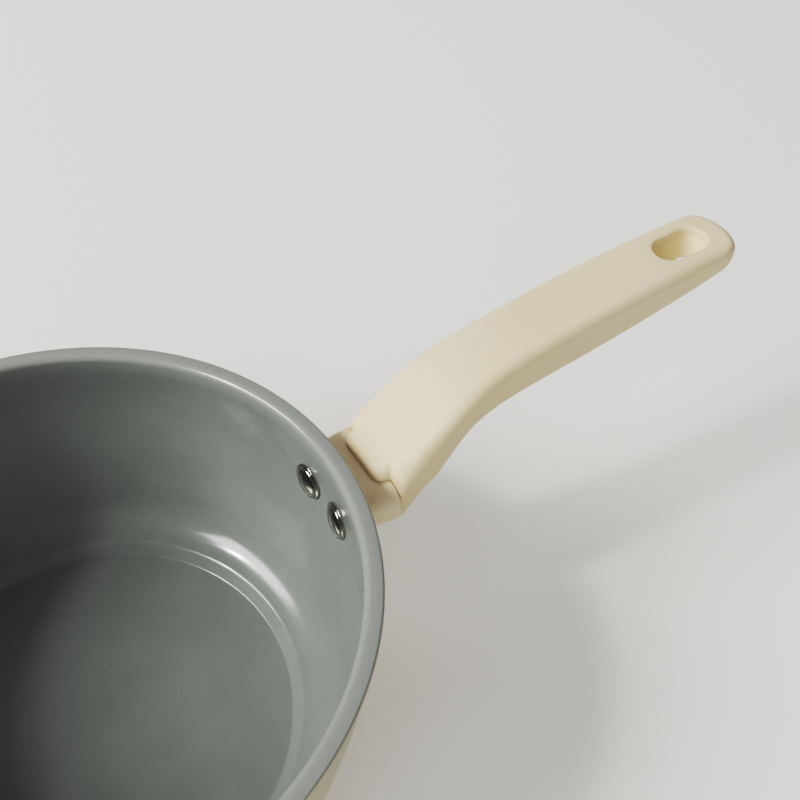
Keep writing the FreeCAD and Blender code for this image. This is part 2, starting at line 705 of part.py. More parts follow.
def make_handle_screw():
    """Screw with a domed, slotted head; local +Z points from the head to the tip."""
    body = new_body("handle_screw")
    sketch = new_sketch(body, "screw_profile", "XZ_Plane")
    closed_outline(sketch, [
        (("0", "0 - screw_head_height"), None),
        (("screw_head_radius - screw_head_chamfer", "0 - screw_head_height"), None),
        (("screw_head_radius", "screw_head_chamfer - screw_head_height"), None),
        (("screw_head_radius", "0"), None),
        (("screw_radius", "0"), None),
        (("screw_radius", "screw_length - screw_tip_chamfer"), None),
        (("screw_radius - screw_tip_chamfer", "screw_length"), None),
        (("0", "screw_length"), None),
    ])
    revolve(body, "screw_turned", sketch)
    sketch = new_sketch(body, "driver_slot_outline", "YZ_Plane")
    half = value("screw_slot_width") / 2
    top = -value("screw_head_height") - 1.0
    deep = -value("screw_head_height") + value("screw_slot_depth")
    draw_polygon(sketch, [Vector(-half, top, 0), Vector(half, top, 0),
                          Vector(half, deep, 0), Vector(-half, deep, 0)])
    pocket(body, "driver_slot", sketch, "screw_head_radius + screw_head_radius + 2", midplane=True)
    centre, upward = screw_frame()
    seat = centre - upward * (value("screw_seat") + value("washer_thickness"))
    body.Placement = axis_placement(seat, upward)
    return body


def make_lock_washer():
    """Split ring under the screw head."""
    body = new_body("screw_lock_washer")
    sketch = new_sketch(body, "washer_rings", "XY_Plane")
    add_circle(sketch, ("0", "0"), "washer_radius")
    add_circle(sketch, ("0", "0"), "washer_bore_radius")
    pad(body, "washer", sketch, "washer_thickness")
    sketch = new_sketch(body, "split_outline", "XY_Plane")
    half = value("washer_split") / 2
    reach = value("washer_radius") + 1.0
    draw_polygon(sketch, [Vector(0, -half, 0), Vector(reach, -half, 0),
                          Vector(reach, half, 0), Vector(0, half, 0)])
    pocket(body, "split", sketch, "washer_thickness", reverse=True)
    centre, upward = screw_frame()
    body.Placement = axis_placement(
        centre - upward * (value("screw_seat") + value("washer_thickness")), upward)
    return body


SUB_PARTS = [
    make_pan_body(),
    make_base_plate(),
    make_handle_bracket(),
    make_rivet("rivet_left", 1),
    make_rivet("rivet_right", -1),
    make_handle_grip(),
    make_handle_screw(),
    make_lock_washer(),
]
doc.recompute()

for item in doc.Objects:
    if "Invalid" in item.State or "Error" in item.State:
        raise RuntimeError("%s failed: %s" % (item.Name, item.State))
for part in SUB_PARTS:
    if part.Shape.isNull() or not part.Shape.isValid():
        raise RuntimeError(part.Label + " has no valid shape")
    if len(part.Shape.Solids) != 1:
        raise RuntimeError("%s has %d solids" % (part.Label, len(part.Shape.Solids)))

os.makedirs("parts", exist_ok=True)
for part in SUB_PARTS:
    part.Shape.exportStep("parts/%s.step" % part.Label)
    box = part.Shape.BoundBox
    print("%-22s volume %9.1f  x %7.2f..%7.2f  y %7.2f..%7.2f  z %7.2f..%7.2f" % (
        part.Label, part.Shape.Volume, box.XMin, box.XMax, box.YMin, box.YMax, box.ZMin, box.ZMax))
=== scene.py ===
import math

import bmesh
import bpy
import numpy as np
from mathutils import Matrix, Vector


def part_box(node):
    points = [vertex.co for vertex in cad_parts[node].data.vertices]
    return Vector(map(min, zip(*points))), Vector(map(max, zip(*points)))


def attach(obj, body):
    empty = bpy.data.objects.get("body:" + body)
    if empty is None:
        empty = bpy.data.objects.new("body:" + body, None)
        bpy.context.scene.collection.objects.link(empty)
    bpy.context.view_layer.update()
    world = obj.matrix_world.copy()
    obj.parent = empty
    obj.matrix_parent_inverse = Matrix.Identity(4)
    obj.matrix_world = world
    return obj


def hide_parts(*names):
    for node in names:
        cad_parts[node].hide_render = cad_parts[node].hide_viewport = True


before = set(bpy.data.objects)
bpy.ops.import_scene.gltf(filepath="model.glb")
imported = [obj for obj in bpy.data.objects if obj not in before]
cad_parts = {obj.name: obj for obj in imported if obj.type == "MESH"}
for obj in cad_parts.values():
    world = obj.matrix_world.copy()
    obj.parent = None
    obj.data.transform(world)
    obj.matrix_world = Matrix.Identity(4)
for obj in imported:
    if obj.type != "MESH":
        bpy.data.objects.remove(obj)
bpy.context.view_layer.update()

# The frame is in metres: origin under the pan's axis, +Z up, the handle along +X.
MM = 0.001
pan_low, pan_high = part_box("pan_body")
RIM_RADIUS = -pan_low.x
RIM_TOP = pan_high.z


def srgb(red, green, blue):
    """Linear colour with alpha from an 0-255 sRGB colour."""
    channels = []
    for channel in (red, green, blue):
        share = channel / 255
        if share <= 0.04045:
            channels.append(share / 12.92)
        else:
            channels.append(((share + 0.055) / 1.055) ** 2.4)
    return (*channels, 1.0)


# ---------------------------------------------------------------- materials


# Part of a noise's range over which its clouds change from one shade to the other.
CLOUD_RANGE = (0.35, 0.65)


class Nodes:
    """Small helper that adds and links shader nodes of one material."""

    def __init__(self, name):
        self.material = bpy.data.materials.new(name)
        self.material.use_nodes = True
        self.tree = self.material.node_tree
        self.shader = self.tree.nodes["Principled BSDF"]
        self.place = self.tree.nodes.new("ShaderNodeTexCoord").outputs["Object"]

    def add(self, kind, settings=None, **inputs):
        """New node with its settings, its inputs linked or set."""
        node = self.tree.nodes.new("ShaderNode" + kind)
        for key, value in (settings or {}).items():
            setattr(node, key, value)
        for key, value in inputs.items():
            self.feed(node.inputs[key.replace("_", " ")], value)
        return node

    def feed(self, socket, value):
        """Link a socket to the input, or set the input to a value."""
        if isinstance(value, bpy.types.NodeSocket):
            self.tree.links.new(value, socket)
        else:
            socket.default_value = value

    def noise(self, size, detail=2.0):
        """Cloudy noise whose lumps are about size metres wide."""
        return self.add("TexNoise", Vector=self.place, Scale=1 / size, Detail=detail).outputs["Fac"]

    def spread(self, source, low, high, start=0.0, end=1.0):
        """Source from start..end mapped to low..high, and held at those ends."""
        node = self.add("MapRange", Value=source)
        for number, value in enumerate((start, end, low, high), start=1):
            node.inputs[number].default_value = value
        return node.outputs["Result"]

    def drift(self, cloud, low, high):
        """Number that drifts from low to high over the middle of the cloud's range."""
        return self.spread(cloud, low, high, *CLOUD_RANGE)

    def blend(self, share, first, second):
        """Colour between first and second."""
        node = self.add("Mix", {"data_type": "RGBA"})
        self.feed(node.inputs["Factor"], share)
        self.feed(node.inputs[6], first)
        self.feed(node.inputs[7], second)
        return node.outputs[2]

    def mottle(self, cloud, first, second):
        """Colour that drifts between two shades with the cloud."""
        return self.blend(self.drift(cloud, 0.0, 1.0), first, second)

    def bump(self, height, distance, under=None):
        """Normal tilted by a height of that distance in metres, on top of the one under it."""
        node = self.add("Bump", Height=height, Distance=distance)
        if under is not None:
            self.feed(node.inputs["Normal"], under)
        return node.outputs["Normal"]

    def surface(self, **inputs):
        """The finished material, with its shader's inputs linked or set."""
        for key, value in inputs.items():
            self.feed(self.shader.inputs[key.replace("_", " ")], value)
        return self.material


FLAKE_SIZE = 0.30 * MM
FLAKE_PICK = (0.955, 0.96)
FLAKE_LIGHTER = 0.12
FLAKE_TILT = 0.10 * MM
# Height below the lip's top over which a painted sheen lightens the coating.
LIP_SHEEN_HEIGHT = 8 * MM


def coating_material():
    """Grey ceramic non-stick coating: satin, faint orange peel, fine mica flakes, and a painted sheen that
    makes it paler towards the lip.
    """
    n = Nodes("ceramic_coating")
    flakes = n.add("TexVoronoi", Vector=n.place, Scale=1 / FLAKE_SIZE)
    pick = n.add("SeparateColor", Color=flakes.outputs["Color"])
    is_flake = n.spread(pick.outputs["Red"], 0.0, 1.0, *FLAKE_PICK)
    cloud = n.noise(24 * MM, 3.0)
    colour = n.mottle(cloud, srgb(127, 131, 127), srgb(131, 135, 131))
    colour = n.blend(n.spread(is_flake, 0.0, FLAKE_LIGHTER), colour, srgb(190, 194, 190))
    # Painted sheen: the coating's colour is lightened over the last 8 mm below the lip's top, standing in
    # for its glossy reflection there.
    height = n.add("SeparateXYZ", Vector=n.place).outputs["Z"]
    lip_sheen_share = n.spread(height, 0.0, 1.0, RIM_TOP - LIP_SHEEN_HEIGHT, RIM_TOP)
    colour = n.blend(lip_sheen_share, colour, srgb(150, 153, 149))
    tilt = n.add("Math", {"operation": "MULTIPLY"})
    n.feed(tilt.inputs[0], pick.outputs["Green"])
    n.feed(tilt.inputs[1], is_flake)
    peel = n.bump(n.noise(1.6 * MM), 0.006 * MM)
    return n.surface(
        Base_Color=colour,
        Roughness=n.drift(cloud, 0.15, 0.19),
        Normal=n.bump(tilt.outputs[0], FLAKE_TILT, under=peel),
        Specular_IOR_Level=0.5,
    )


def outside_paint_material():
    """Cream paint on the outside of the pan."""
    n = Nodes("outside_paint")
    cloud = n.noise(30 * MM, 3.0)
    return n.surface(
        Base_Color=n.mottle(cloud, srgb(188, 180, 158), srgb(193, 185, 164)),
        Roughness=n.drift(cloud, 0.34, 0.42),
        Normal=n.bump(n.noise(1.2 * MM), 0.006 * MM),
    )


def bracket_paint_material():
    """Cream paint over a slightly uneven casting."""
    n = Nodes("bracket_paint")
    cloud = n.noise(9 * MM, 3.0)
    return n.surface(
        Base_Color=n.mottle(cloud, srgb(238, 221, 192), srgb(242, 226, 198)),
        Roughness=n.drift(cloud, 0.36, 0.46),
        Normal=n.bump(n.noise(1.6 * MM), 0.010 * MM),
    )


def grip_material():
    """Soft-touch cream resin: matte, with a very fine even grain and faint specks."""
    n = Nodes("grip_resin")
    cloud = n.noise(35 * MM, 4.0)
    speck = n.noise(0.5 * MM, 1.0)
    colour = n.mottle(cloud, srgb(228, 209, 174), srgb(231, 213, 180))
    colour = n.blend(n.spread(speck, 0.0, 0.10, 0.55, 0.75), colour, srgb(206, 194, 166))
    return n.surface(
        Base_Color=colour,
        Roughness=n.drift(cloud, 0.52, 0.60),
        Normal=n.bump(n.noise(0.35 * MM), 0.010 * MM),
        Sheen_Weight=0.12,
        Sheen_Roughness=0.5,
    )


def polished_steel_material():
    """Polished rivet steel with a faint uneven haze."""
    n = Nodes("polished_steel")
    haze = n.noise(2.0 * MM, 3.0)
    return n.surface(
        Base_Color=n.mottle(haze, srgb(196, 192, 184), srgb(206, 203, 196)),
        Metallic=1.0,
        Roughness=n.drift(haze, 0.09, 0.16),
        Normal=n.bump(n.noise(0.6 * MM), 0.004 * MM),
    )


def brushed_steel_material():
    """Plain steel with fine lines round the pan's axis."""
    n = Nodes("brushed_steel")
    parts = n.add("SeparateXYZ", Vector=n.place)
    flat = n.add("CombineXYZ", X=parts.outputs["X"], Y=parts.outputs["Y"])
    radius = n.add("VectorMath", {"operation": "LENGTH"}, Vector=flat.outputs["Vector"])
    lines = n.add("TexNoise", {"noise_dimensions": "1D"}, W=radius.outputs["Value"],
                  Scale=1 / (0.35 * MM), Detail=3.0)
    shade = n.spread(lines.outputs["Fac"], 0.0, 1.0, 0.3, 0.7)
    return n.surface(
        Base_Color=n.blend(shade, srgb(176, 176, 174), srgb(196, 196, 194)),
        Metallic=1.0,
        Roughness=n.spread(shade, 0.26, 0.36),
        Normal=n.bump(lines.outputs["Fac"], 0.010 * MM),
    )


COATING = coating_material()
OUTSIDE_PAINT = outside_paint_material()
BRACKET_PAINT = bracket_paint_material()
GRIP_RESIN = grip_material()
POLISHED_STEEL = polished_steel_material()
BRUSHED_STEEL = brushed_steel_material()


# ---------------------------------------------------------------- pieces


def dress(node, material):
    """Give a carried-over CAD node its material."""
    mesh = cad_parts[node].data
    mesh.materials.clear()
    mesh.materials.append(material)


def add_piece(name, mesh, node, slot, *materials):
    """Piece with a finished mesh that rides on the one body and stands for a CAD node."""
    for material in materials:
        mesh.materials.append(material)
    piece = bpy.data.objects.new(name, mesh)
    bpy.context.scene.collection.objects.link(piece)
    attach(piece, "root")
    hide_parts(node)


def finished_mesh(name, shape):
    """Mesh made from a bmesh, which is freed."""
    mesh = bpy.data.meshes.new(name)
    shape.to_mesh(mesh)
    shape.free()
    return mesh


# ---------------------------------------------------------------- turned pieces


def rounded(points, arc_steps=6):
    """Outline through (r, z, rounding) points, the marked corners replaced by arcs."""
    outline = []
    for number, (r, z, rounding) in enumerate(points):
        here = Vector((r, z))
        if not rounding:
            outline.append(here)
            continue
        back = (Vector(points[number - 1][:2]) - here).normalized()
        ahead = (Vector(points[(number + 1) % len(points)][:2]) - here).normalized()
        half_angle = back.angle(ahead) / 2
        reach = rounding / math.tan(half_angle)
        centre = here + (back + ahead).normalized() * (rounding / math.sin(half_angle))
        start = (here + back * reach - centre).normalized()
        end = (here + ahead * reach - centre).normalized()
        while len(outline) > 1 and (outline[-1] - here).length < reach:
            outline.pop()
        for step in range(arc_steps + 1):
            outline.append(centre + start.slerp(end, step / arc_steps) * rounding)
    return outline


# Radius under which an outline's point counts as lying on the axis, in millimetres.
ON_AXIS = 1e-6


def turned(outline, segments, finish=None):
    """Surface of revolution about Z; finish gives the material index of a numbered span."""
    shape = bmesh.new()
    rings = []
    for r, z in outline:
        count = segments if r > ON_AXIS else 1
        angles = [2 * math.pi * step / segments for step in range(count)]
        places = [(r * MM * math.cos(a), r * MM * math.sin(a), z * MM) for a in angles]
        rings.append([shape.verts.new(place) for place in places])
    for number, (low, high) in enumerate(zip(rings, rings[1:])):
        for step in range(segments):
            following = (step + 1) % segments
            corners = [low[step % len(low)], low[following % len(low)],
                       high[following % len(high)], high[step % len(high)]]
            face = shape.faces.new(list(dict.fromkeys(corners)))
            face.smooth = True
            face.material_index = finish(number) if finish else 0
    bmesh.ops.recalc_face_normals(shape, faces=shape.faces)
    return shape


def smooth_curve(knots, values):
    """Natural cubic spline through the knots, as a function of an array."""
    x = np.array(knots, float)
    y = np.array(values, float)
    gap = np.diff(x)
    system = np.eye(len(x))
    right = np.zeros(len(x))
    for i in range(1, len(x) - 1):
        system[i, i - 1:i + 2] = gap[i - 1], 2 * (gap[i - 1] + gap[i]), gap[i]
        right[i] = 6 * ((y[i + 1] - y[i]) / gap[i] - (y[i] - y[i - 1]) / gap[i - 1])
    bend = np.linalg.solve(system, right)

    def curve(at):
        at = np.clip(at, x[0], x[-1])
        i = np.clip(np.searchsorted(x, at) - 1, 0, len(x) - 2)
        before, after = at - x[i], x[i + 1] - at
        return ((bend[i] * after ** 3 + bend[i + 1] * before ** 3) / (6 * gap[i])
                + (y[i] / gap[i] - bend[i] * gap[i] / 6) * after
                + (y[i + 1] / gap[i] - bend[i + 1] * gap[i] / 6) * before)

    return curve


# The pan's section, in millimetres.
RIM = RIM_RADIUS / MM
TOP = RIM_TOP / MM
MOUTH = 99.6
WALL = 2.6
CORNER_WALL = 2.9
LIP_THICKNESS = 2.2
LIP_DROOP = 0.5
LIP_ROUND = 0.9
LIP_UNDERSIDE_ROUND = 2.0
COATED_LIP_END = RIM - 0.3
CREST_ROUND = 2.3
STRAIGHT_TO = TOP - 13.0
CORNER_ARC = 18.4
STEP_POINT = Vector((75.8, 7.9))
STEP_ROUND = 3.0
CORNER_POINT = Vector((90.0, 22.1))
FLOOR_RADIUS = 72.2
FLOOR_HEIGHT = 3.5
FLOOR_ROUND = 1.4
FOOT_RADIUS = 75.0
FOOT_ROUND = 1.6
PLATE = -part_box("induction_base_plate")[0].x / MM
PLATE_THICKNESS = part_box("induction_base_plate")[1].z / MM
PLATE_SEAT = PLATE + 0.1
PLATE_EDGE_ROUND = 0.25
inner_wall = smooth_curve((CORNER_POINT.y, 30.0, 42.0, 61.0, STRAIGHT_TO, STRAIGHT_TO + 6.0),
                          (CORNER_POINT.x, 92.1, 94.6, 98.5, MOUTH, MOUTH))


def corner_arc(thickness, steps=18):
    """Arc from the floor's step up to the wall, moved out by a thickness."""
    chord = CORNER_POINT - STEP_POINT
    right = Vector((chord.y, -chord.x)).normalized()
    to_centre = math.sqrt(CORNER_ARC ** 2 - (chord.length / 2) ** 2)
    centre = (STEP_POINT + CORNER_POINT) / 2 - right * to_centre
    start = (STEP_POINT - centre).normalized()
    end = (CORNER_POINT - centre).normalized()
    radius = CORNER_ARC + thickness
    return [centre + start.slerp(end, step / steps) * radius for step in range(steps + 1)]


def pan_outline():
    """From the middle of the floor up the inside, over the lip and down to the middle below."""
    heights = np.linspace(CORNER_POINT.y + 2.0, STRAIGHT_TO, 26)
    inside = corner_arc(0.0)
    outside = corner_arc(CORNER_WALL)
    lip_height = TOP - LIP_DROOP
    points = [(r, FLOOR_HEIGHT, 0) for r in np.linspace(0.0, FLOOR_RADIUS - 3.0, 12)]
    points += [(FLOOR_RADIUS, FLOOR_HEIGHT, FLOOR_ROUND), (*STEP_POINT, STEP_ROUND)]
    points += [(*place, 0) for place in inside[1:]]
    points += [(float(inner_wall(z)), z, 0) for z in heights]
    points += [(MOUTH, TOP, CREST_ROUND), (RIM, lip_height, LIP_ROUND)]
    points += [(RIM, lip_height - LIP_THICKNESS, LIP_ROUND)]
    points += [(MOUTH + WALL, TOP - LIP_THICKNESS, LIP_UNDERSIDE_ROUND)]
    points += [(float(inner_wall(z)) + WALL, z, 0) for z in heights[::-1]]
    points += [(*place, 0) for place in outside[:0:-1]]
    points += [(*outside[0], FOOT_ROUND), (FOOT_RADIUS, 0.0, FOOT_ROUND), (PLATE_SEAT, 0.0, 0)]
    points += [(PLATE_SEAT, PLATE_THICKNESS, 0), (0.0, PLATE_THICKNESS, 0)]
    return rounded(points)


def build_pan():
    """Pan, coated inside as far as the lip's edge, painted outside, bare steel over the plate."""
    outline = pan_outline()
    lip_edge = min(number for number, place in enumerate(outline) if place.x > COATED_LIP_END)
    foot_edge = min(number for number, place in enumerate(outline) if number > lip_edge and place.y < 0.01)

    def finish(number):
        if number < lip_edge:
            return 0
        return 1 if number <= foot_edge else 2

    mesh = finished_mesh("pan_shell", turned(outline, 256, finish))
    add_piece("pan_shell", mesh, "pan_body", "pan_coating", COATING, OUTSIDE_PAINT, BRUSHED_STEEL)


RING_SPACING = 5.0
RING_DEPTH = 0.22
RING_ROUND = 0.08


def build_base_plate():
    """Steel disc let into the underside, with shallow turned rings."""
    points = [(0.0, PLATE_THICKNESS, 0), (PLATE, PLATE_THICKNESS, 0), (PLATE, 0.0, PLATE_EDGE_ROUND)]
    for r in np.arange(PLATE - 6.0, 8.0, -RING_SPACING):
        groove = ((r, 0.0), (r - 0.3, RING_DEPTH), (r - 1.1, RING_DEPTH), (r - 1.4, 0.0))
        points += [(*corner, RING_ROUND) for corner in groove]
    points.append((0.0, 0.0, 0))
    mesh = finished_mesh("base_plate", turned(rounded(points, 3), 192))
    add_piece("base_plate", mesh, "induction_base_plate", "base_steel", BRUSHED_STEEL)


# ---------------------------------------------------------------- rivets

RIVET_SIDE = 10.2
RIVET_HEIGHT = 66.4
RIVET_TILT = math.radians(6.5)
HEAD_RADIUS = 6.8
HEAD_HEIGHT = 2.3
HEAD_RIM_HEIGHT = 0.75
HEAD_SEAT_GAP = 0.2
DOME_RADIUS = 5.75
SHANK = 2.4
TAIL = 3.9
TAIL_LENGTH = 2.2


def rivet_outline(length):
    """Head from its crown, thin rim with a fine groove inside it, shank, upset tail."""
    points = []
    for step in range(13):
        angle = math.pi / 2 * step / 12
        height = HEAD_RIM_HEIGHT + (HEAD_HEIGHT - HEAD_RIM_HEIGHT) * math.cos(angle)
        points.append((DOME_RADIUS * math.sin(angle), -height, 0))
    points += [(DOME_RADIUS + 0.08, 0.22 - HEAD_RIM_HEIGHT, 0.05)]
    points += [(DOME_RADIUS + 0.3, -0.12 - HEAD_RIM_HEIGHT, 0.15)]
    points += [(HEAD_RADIUS, 0.1 - HEAD_RIM_HEIGHT, 0.35), (HEAD_RADIUS, 0.0, 0.1), (SHANK, 0.0, 0)]
    points += [(SHANK, length, 0), (TAIL, length + 0.1, 0.3), (TAIL, length + TAIL_LENGTH - 0.1, 0.8)]
    points += [(0.0, length + TAIL_LENGTH, 0)]
    return rounded(points)


def build_rivet(node, side):
    """Rivet square to the wall, its head inside the pan and its tail in the bracket."""
    turn = math.asin(side * RIVET_SIDE / MOUTH)
    axis = Vector((math.cos(turn) * math.cos(RIVET_TILT), math.sin(turn) * math.cos(RIVET_TILT),
                   -math.sin(RIVET_TILT)))
    wall = float(inner_wall(RIVET_HEIGHT))
    reach = math.sqrt(wall ** 2 - HEAD_RADIUS ** 2) - HEAD_SEAT_GAP
    seat = Vector((reach * math.cos(turn), reach * math.sin(turn), RIVET_HEIGHT))
    tail_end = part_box(node)[1].x / MM
    length = (tail_end - seat.x - 2.6) / axis.x
    shape = turned(rivet_outline(length), 64)
    shape.transform(Matrix.Translation(seat * MM) @ axis.to_track_quat("Z", "Y").to_matrix().to_4x4())
    mesh = finished_mesh(node + "_steel", shape)
    add_piece(node + "_steel", mesh, node, "rivet_steel", POLISHED_STEEL)


# ---------------------------------------------------------------- shapes from distances


def round_and(first, second, radius):
    """What lies in both shapes, their common edge rounded; distances are negative inside."""
    outside = np.hypot(np.maximum(first + radius, 0), np.maximum(second + radius, 0))
    return np.minimum(-radius, np.maximum(first, second)) + outside


def round_or(first, second, radius):
    """Both shapes together, the corner between them filled with that radius."""
    inside = np.hypot(np.maximum(radius - first, 0), np.maximum(radius - second, 0))
    return np.maximum(radius, np.minimum(first, second)) - inside


def flat_box(u, v, half_u, half_v, corner=0.0):
    """Distance to a rectangle with rounded corners."""
    du = np.abs(u) - half_u + corner
    dv = np.abs(v) - half_v + corner
    return np.hypot(np.maximum(du, 0), np.maximum(dv, 0)) + np.minimum(np.maximum(du, dv), 0) - corner


def gradient(distance, places, reach=0.05):
    """Slope of the distance at each place, measured over twice the reach."""
    slopes = []
    for axis in range(3):
        shift = np.zeros(3)
        shift[axis] = reach
        slopes.append((distance(places + shift) - distance(places - shift)) / (2 * reach))
    return np.stack(slopes, -1)


def settle(distance, places, rounds=4):
    """Move points onto the surface along its slope."""
    for _ in range(rounds):
        slope = gradient(distance, places)
        size = np.maximum((slope ** 2).sum(-1), 0.05)
        places = places - slope * (distance(places) / size)[:, None]
    return places


CORNERS = np.array([(i, j, k) for i in (0, 1) for j in (0, 1) for k in (0, 1)])
EDGES = [(a, b) for a in range(8) for b in range(a + 1, 8) if abs(CORNERS[a] - CORNERS[b]).sum() == 1]
SMOOTHING_ROUNDS = 3


def skin(distance, low, high, step):
    """Even quad mesh of the surface where the distance is zero: (points, faces)."""
    axes = [np.arange(a, b + step, step) for a, b in zip(low, high)]
    grid = np.stack(np.meshgrid(*axes, indexing="ij"), -1)
    field = distance(grid.reshape(-1, 3)).reshape(grid.shape[:3])
    inside = field < 0
    size = np.array(field.shape) - 1

    def corner(values, offset):
        i, j, k = offset
        return values[i:i + size[0], j:j + size[1], k:k + size[2]]

    count = sum(corner(inside, offset).astype(int) for offset in CORNERS)
    cells = np.argwhere((count > 0) & (count < 8))
    numbers = np.full(size, -1)
    numbers[tuple(cells.T)] = np.arange(len(cells))
    total = np.zeros((len(cells), 3))
    crossings = np.zeros(len(cells))
    for a, b in EDGES:
        start, end = cells + CORNERS[a], cells + CORNERS[b]
        f_start, f_end = field[tuple(start.T)], field[tuple(end.T)]
        crossed = (f_start < 0) != (f_end < 0)
        share = np.where(crossed, f_start / np.where(crossed, f_start - f_end, 1.0), 0.0)
        total += np.where(crossed[:, None], start + share[:, None] * (end - start), 0.0)
        crossings += crossed
    points = np.array(low) + total / crossings[:, None] * step

    faces = []
    for axis in range(3):
        u, v = (axis + 1) % 3, (axis + 2) % 3
        shift = np.eye(3, dtype=int)
        first = inside[tuple(slice(0, -1) if a == axis else slice(None) for a in range(3))]
        second = inside[tuple(slice(1, None) if a == axis else slice(None) for a in range(3))]
        for leaves, order in ((first & ~second, 1), (~first & second, -1)):
            node = np.argwhere(leaves)
            ring = [node, node - shift[u], node - shift[u] - shift[v], node - shift[v]]
            quad = np.stack([numbers[tuple(place.T)] for place in ring], -1)
            faces.append(quad[:, ::order])
    faces = np.concatenate(faces)

    joined = np.concatenate([faces[:, (a, b)] for a, b in ((0, 1), (1, 2), (2, 3), (3, 0))])
    for _ in range(SMOOTHING_ROUNDS):
        total = np.zeros_like(points)
        weight = np.zeros(len(points))
        for a, b in ((0, 1), (1, 0)):
            np.add.at(total, joined[:, a], points[joined[:, b]])
            np.add.at(weight, joined[:, a], 1)
        points = settle(distance, 0.5 * points + 0.5 * total / weight[:, None], 2)
    return settle(distance, points), faces


def add_skin(name, node, slot, material, distance, step):
    """Skin a distance shape inside a CAD node's box and let it stand for that node."""
    low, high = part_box(node)
    margin = 2 * step
    points, faces = skin(distance, [c / MM - margin for c in low], [c / MM + margin for c in high], step)
    mesh = bpy.data.meshes.new(name)
    mesh.from_pydata((points * MM).tolist(), [], faces.tolist())
    mesh.polygons.foreach_set("use_smooth", [True] * len(faces))
    mesh.update()
    add_piece(name, mesh, node, slot, material)


# ---------------------------------------------------------------- handle grip

# Stations along the grip: distance from the pan's axis, half width, top, underside, and the
# rounding of the upper and lower edges, in millimetres.
STATIONS = np.array([
    (112.0, 20.9, 80.2, 60.5, 8.6, 5.6),
    (116.0, 20.9, 81.7, 60.5, 8.6, 5.6),
    (120.0, 21.1, 83.3, 60.9, 8.8, 6.0),
    (124.0, 20.5, 85.8, 63.0, 8.3, 7.0),
    (128.0, 19.6, 88.5, 65.9, 7.6, 8.0),
    (135.5, 18.1, 93.8, 71.0, 6.2, 7.0),
    (143.0, 16.8, 98.8, 78.8, 5.2, 6.0),
    (150.0, 15.6, 102.4, 84.9, 4.7, 5.6),
    (159.0, 14.4, 105.7, 88.1, 4.3, 5.3),
    (175.0, 13.8, 109.0, 90.6, 4.0, 5.3),
    (196.0, 13.7, 111.7, 92.9, 3.8, 5.3),
    (222.6, 13.7, 114.1, 96.6, 3.8, 5.3),
    (249.0, 13.5, 115.2, 101.2, 3.8, 5.0),
    (275.0, 13.0, 115.7, 106.9, 3.8, 4.6),
])
half_width, grip_top, grip_low, top_round, low_round = (
    smooth_curve(STATIONS[:, 0], STATIONS[:, column]) for column in range(1, 6))
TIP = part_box("handle_grip")[1].x / MM
TIP_ARC = 19.0
TIP_CORNER = 4.2
JOINT = 118.6
JOINT_GAP = 0.1
# Heights between which the rounding of the grip's front end grows from one radius to the other.
FRONT_ROUND_HEIGHTS = (72.0, 79.0)
FRONT_ROUNDS = (0.9, 3.6)
TONGUE_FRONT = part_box("handle_grip")[0].x / MM
TONGUE_ROOT = 126.0
TONGUE_HALF = 12.3
TONGUE_CORNER = 5.0
TONGUE_TOP_ROUND = 3.9
TONGUE_UNDER_ROUND = 0.3
TONGUE_GAP = 0.08
TONGUE_SINK = 0.05
# Depths below the grip's top between which the fillet beside the tongue fades out.
FILLET_DEPTHS = (-3.0, -0.8)
FILLET_RADII = (1.0, 0.05)
BRACKET_TOP = 77.4
SLOT_MIDDLE = 250.5
SLOT_HALF_LENGTH = 10.8
SLOT_RADIUS = 6.2
SLOT_EDGE_ROUND = 1.2
SLOT_PARTING = 112.0
SLOT_LEDGE = 0.3
SLOT_TAPER = 0.24
TENON_RISE = math.radians(34.0)
TENON_MIDDLE = 71.6
TENON_HALF_HEIGHT = 4.0
TENON_HALF_WIDTH = 10.5
SOCKET_GAP = 0.25
SOCKET_EDGE_ROUND = 0.2
SCREW_REACH = 16.5
SCREW_RADIUS = 2.5
SCREW_HOLE_RADIUS = 2.7
SCREW_SEAT = 7.4
WELL_RADIUS = 5.1
WELL_EDGE_ROUND = 0.3


def slope_cosine(curve, x):
    """Cosine of the curve's slope at x, which turns a height into a distance."""
    return 1 / np.hypot(1, (curve(x + 0.1) - curve(x - 0.1)) / 0.2)


def tenon_axes(x, z):
    """Distances along and across the slanted tenon, from its centre at the joint."""
    cosine, sine = math.cos(TENON_RISE), math.sin(TENON_RISE)
    return ((x - JOINT) * cosine + (z - TENON_MIDDLE) * sine,
            (z - TENON_MIDDLE) * cosine - (x - JOINT) * sine)


def slot_distance(x, y, z):
    """Distance to the hanging slot, which steps in and narrows below its parting line."""
    below_parting = np.maximum(SLOT_PARTING - z, 0.0)
    step_in = SLOT_LEDGE * np.clip(below_parting / 0.5, 0, 1) + SLOT_TAPER * below_parting
    straight = SLOT_HALF_LENGTH - SLOT_RADIUS
    return np.hypot(np.maximum(np.abs(x - SLOT_MIDDLE) - straight, 0), y) - SLOT_RADIUS + step_in


